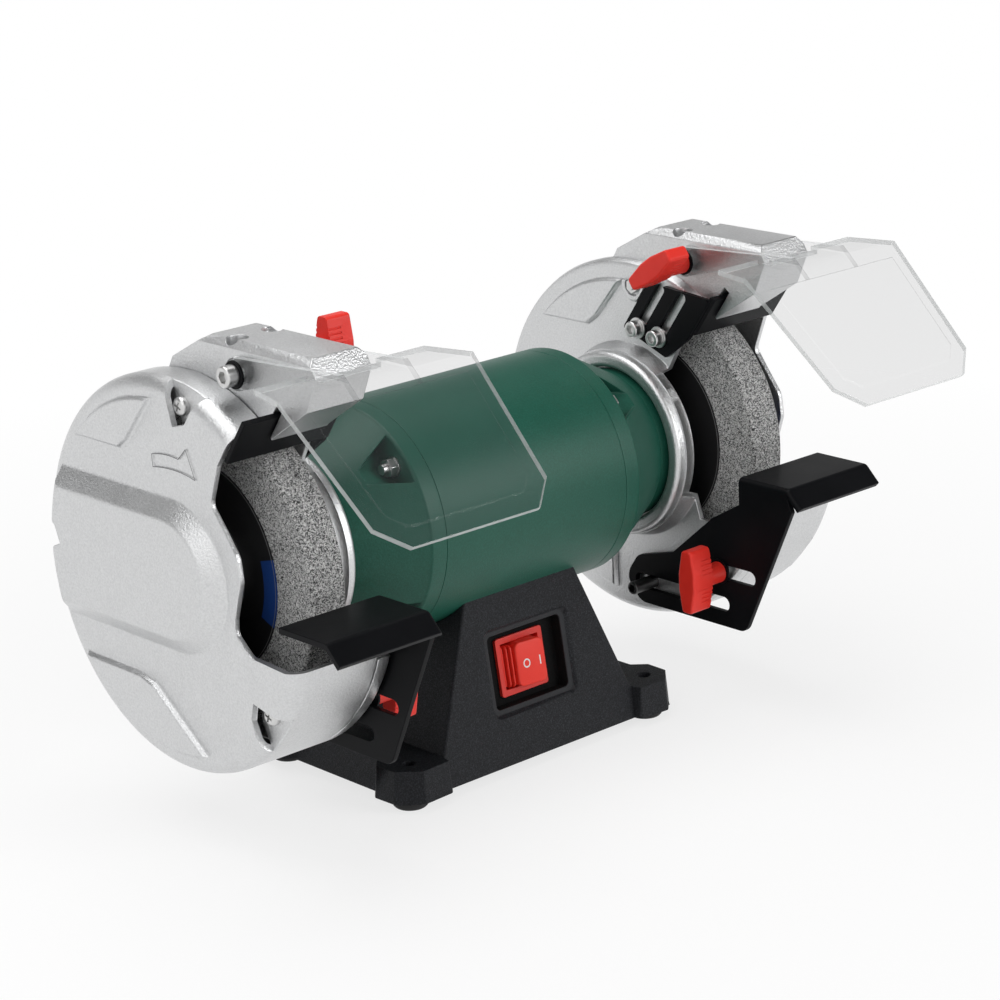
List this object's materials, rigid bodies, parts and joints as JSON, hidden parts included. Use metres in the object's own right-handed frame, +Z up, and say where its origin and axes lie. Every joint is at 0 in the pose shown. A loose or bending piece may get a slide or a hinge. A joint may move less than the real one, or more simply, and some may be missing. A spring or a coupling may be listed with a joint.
{
  "type": "bench grinder",
  "caption": "Double-ended bench grinder: motor on a pedestal base, a guarded grinding wheel at each end, each with a tool rest, a spark arrestor and a tilting clear eye shield.",
  "frame": {"origin": "centre of the four bench bolt holes, on the bench surface", "axes": "+X along the spindle to the operator's right, -Y towards the operator and the switch, +Z up"},
  "size_m": [0.394, 0.2684, 0.2453],
  "materials": {
    "black_casting": "satin textured black paint on cast iron",
    "black_sheet": "black coated sheet steel",
    "green_housing": "dark green paint",
    "silver_casting": "fine silver paint on die-cast aluminium",
    "grey_abrasive": "bonded grey abrasive",
    "label_paper": "printed disc",
    "clear_plastic": "clear polycarbonate",
    "red_plastic": "red moulded plastic",
    "switch_plastic": "red moulded plastic",
    "zinc_steel": "zinc plated",
    "black_washer": "black oxide",
    "machined_steel": "turned steel",
    "bearing_steel": "ground bearing steel",
    "lamination": "stacked laminations",
    "copper_winding": "enamelled copper",
    "rotor_aluminium": "cast",
    "black_rubber": "moulded",
    "grey_plastic": "moulded case",
    "clamp_steel": "zinc plated",
    "terminal_plastic": "moulded"
  },
  "bodies": {
    "machine": {"arrestor_screws": "zinc_steel", "arrestor_washers": "zinc_steel", "base": "black_casting", "bottom_plate": "black_sheet", "bottom_plate_screws": "zinc_steel", "cable_gland": "black_rubber", "capacitor": "grey_plastic", "capacitor_clamp": "clamp_steel", "clamp_washers": "black_washer", "cover_nuts": "zinc_steel", "cover_screws": "zinc_steel", "housing_screws": "zinc_steel", "left_bearing": "bearing_steel", "left_end_bell": "green_housing", "left_guard_cover": "silver_casting", "left_guard_housing": "silver_casting", "motor_mount_screws": "zinc_steel", "motor_tube": "green_housing", "preload_washer": "machined_steel", "rest_guide_pins": "zinc_steel", "rest_studs": "zinc_steel", "right_bearing": "bearing_steel", "right_end_bell": "green_housing", "right_guard_cover": "silver_casting", "right_guard_housing": "silver_casting", "rubber_feet": "black_rubber", "shield_bolts": "zinc_steel", "stator_core": "lamination", "stator_windings": "copper_winding", "switch_body": "switch_plastic", "terminal_block": "terminal_plastic", "tie_bolt_nuts": "zinc_steel", "tie_bolt_washers": "zinc_steel", "tie_bolts": "zinc_steel"},
    "rotor": {"shaft": "machined_steel", "rotor_core": "lamination", "rotor_end_rings": "rotor_aluminium", "left_wheel": "grey_abrasive", "left_wheel_labels": "label_paper", "left_inner_flange": "machined_steel", "left_outer_flange": "machined_steel", "left_spindle_nut": "zinc_steel", "right_wheel": "grey_abrasive", "right_wheel_labels": "label_paper", "right_inner_flange": "machined_steel", "right_outer_flange": "machined_steel", "right_spindle_nut": "zinc_steel"},
    "left_shield": {"left_eye_shield": "clear_plastic"},
    "left_shield_knob_body": {"left_shield_knob": "red_plastic"},
    "left_rest_knob_body": {"left_rest_knob": "red_plastic"},
    "left_rest": {"left_tool_rest": "black_sheet"},
    "left_arrestor": {"left_spark_arrestor": "black_sheet"},
    "right_shield": {"right_eye_shield": "clear_plastic"},
    "right_shield_knob_body": {"right_shield_knob": "red_plastic"},
    "right_rest_knob_body": {"right_rest_knob": "red_plastic"},
    "right_rest": {"right_tool_rest": "black_sheet"},
    "right_arrestor": {"right_spark_arrestor": "black_sheet"},
    "rocker": {"switch_rocker": "red_plastic"}
  },
  "joints": [
    {"name": "spindle_spin", "type": "hinge", "parent": "machine", "child": "rotor", "pos_m": [0, 0, 0.13], "axis": [1, 0, 0], "continuous": true},
    {"name": "left_shield_tilt", "type": "hinge", "parent": "machine", "child": "left_shield", "pos_m": [-0.1425, -0.0393, 0.2288], "axis": [-1, 0, 0], "range_deg": [-8, 60]},
    {"name": "left_shield_knob_turn", "type": "hinge", "parent": "machine", "child": "left_shield_knob_body", "pos_m": [-0.1166, -0.0393, 0.2288], "axis": [1, 0, 0], "continuous": true},
    {"name": "left_rest_knob_turn", "type": "hinge", "parent": "machine", "child": "left_rest_knob_body", "pos_m": [-0.1113, -0.0657, 0.072], "axis": [1, 0, 0], "continuous": true},
    {"name": "left_rest_slide", "type": "slide", "parent": "machine", "child": "left_rest", "axis": [0, 1, 0], "range_m": [-0.006, 0.0033]},
    {"name": "left_arrestor_slide", "type": "slide", "parent": "machine", "child": "left_arrestor", "axis": [0, -0.5807, 0.8141], "range_m": [-0.004, 0.002]},
    {"name": "right_shield_tilt", "type": "hinge", "parent": "machine", "child": "right_shield", "pos_m": [0.1425, -0.0393, 0.2288], "axis": [-1, 0, 0], "range_deg": [-8, 60]},
    {"name": "right_shield_knob_turn", "type": "hinge", "parent": "machine", "child": "right_shield_knob_body", "pos_m": [0.1166, -0.0393, 0.2288], "axis": [1, 0, 0], "continuous": true},
    {"name": "right_rest_knob_turn", "type": "hinge", "parent": "machine", "child": "right_rest_knob_body", "pos_m": [0.1113, -0.0657, 0.072], "axis": [1, 0, 0], "continuous": true},
    {"name": "right_rest_slide", "type": "slide", "parent": "machine", "child": "right_rest", "axis": [0, 1, 0], "range_m": [-0.006, 0.0033]},
    {"name": "right_arrestor_slide", "type": "slide", "parent": "machine", "child": "right_arrestor", "axis": [0, -0.5807, 0.8141], "range_m": [-0.004, 0.002]},
    {"name": "switch_press", "type": "hinge", "parent": "machine", "child": "rocker", "pos_m": [0, -0.03808, 0.04931], "axis": [0, 0.1579, 0.9874], "range_deg": [0, 16]}
  ]
}
